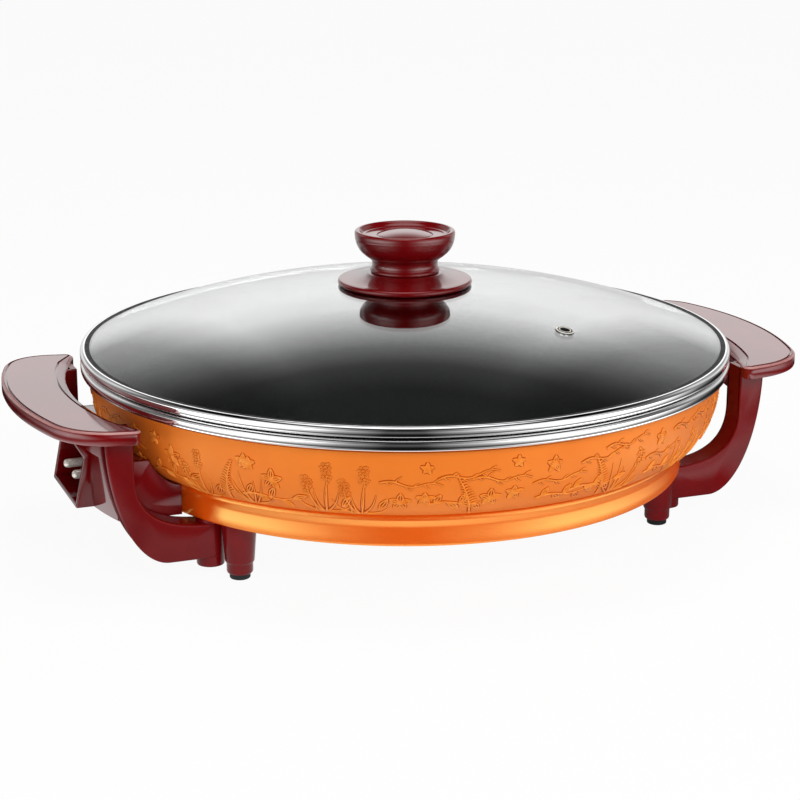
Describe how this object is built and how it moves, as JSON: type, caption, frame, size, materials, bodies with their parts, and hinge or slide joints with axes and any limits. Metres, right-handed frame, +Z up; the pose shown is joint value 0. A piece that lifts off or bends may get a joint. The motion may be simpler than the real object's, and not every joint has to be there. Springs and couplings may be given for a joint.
{
  "type": "electric grill pan",
  "caption": "Round electric grill pan with an orange shell on small feet, side handles, a pinned mains inlet under one handle and a loose domed glass lid with a knob.",
  "frame": {"origin": "on the pan's vertical axis, at the level the rubber feet stand on", "axes": "+X along the handle axis, away from the inlet; +Y to the back, away from the viewer of the picture; +Z up"},
  "size_m": [0.409, 0.33, 0.1477],
  "materials": {
    "pan_aluminium": "polished rim, dark non-stick coating inside",
    "orange_enamel": "semi-gloss metallic orange over cast relief",
    "burgundy_plastic": "gloss heat-resistant moulding",
    "clear_glass": "clear tempered",
    "polished_steel": "mirror polished stainless",
    "nickel_pin": "nickel plated",
    "zinc_steel": "zinc plated",
    "sheathed_tube": "heat-darkened sheath",
    "spreader_aluminium": "rolled",
    "white_ceramic": "matt fired",
    "black_insulator": "moulded",
    "black_rubber": "matt"
  },
  "bodies": {
    "base": {"cooking_pan": "pan_aluminium", "outer_shell": "orange_enamel", "heat_spreader": "spreader_aluminium", "heating_element": "sheathed_tube", "terminal_pins": "nickel_pin", "terminal_beads": "white_ceramic", "base_skirt": "orange_enamel", "base_plate": "zinc_steel", "base_screws": "zinc_steel", "handle_left": "burgundy_plastic", "handle_right": "burgundy_plastic", "handle_screws": "zinc_steel", "handle_nuts": "zinc_steel", "inlet_housing": "burgundy_plastic", "pin_plate": "black_insulator", "housing_screws": "zinc_steel", "foot_front_left": "burgundy_plastic", "foot_front_right": "burgundy_plastic", "foot_back_left": "burgundy_plastic", "foot_back_right": "burgundy_plastic", "foot_tip_front_left": "black_rubber", "foot_tip_front_right": "black_rubber", "foot_tip_back_left": "black_rubber", "foot_tip_back_right": "black_rubber", "foot_screws": "zinc_steel", "foot_nuts": "zinc_steel"},
    "lid": {"lid_glass": "clear_glass", "lid_rim": "polished_steel", "vent_grommet": "polished_steel", "knob_base": "burgundy_plastic", "knob_grip": "burgundy_plastic", "knob_cap": "burgundy_plastic", "knob_screw": "zinc_steel", "knob_washer": "zinc_steel", "knob_gasket": "black_rubber"}
  },
  "joints": [
    {"name": "lid_lift", "type": "slide", "parent": "base", "child": "lid", "axis": [0, 0, 1], "range_m": [0, 0.2]}
  ]
}
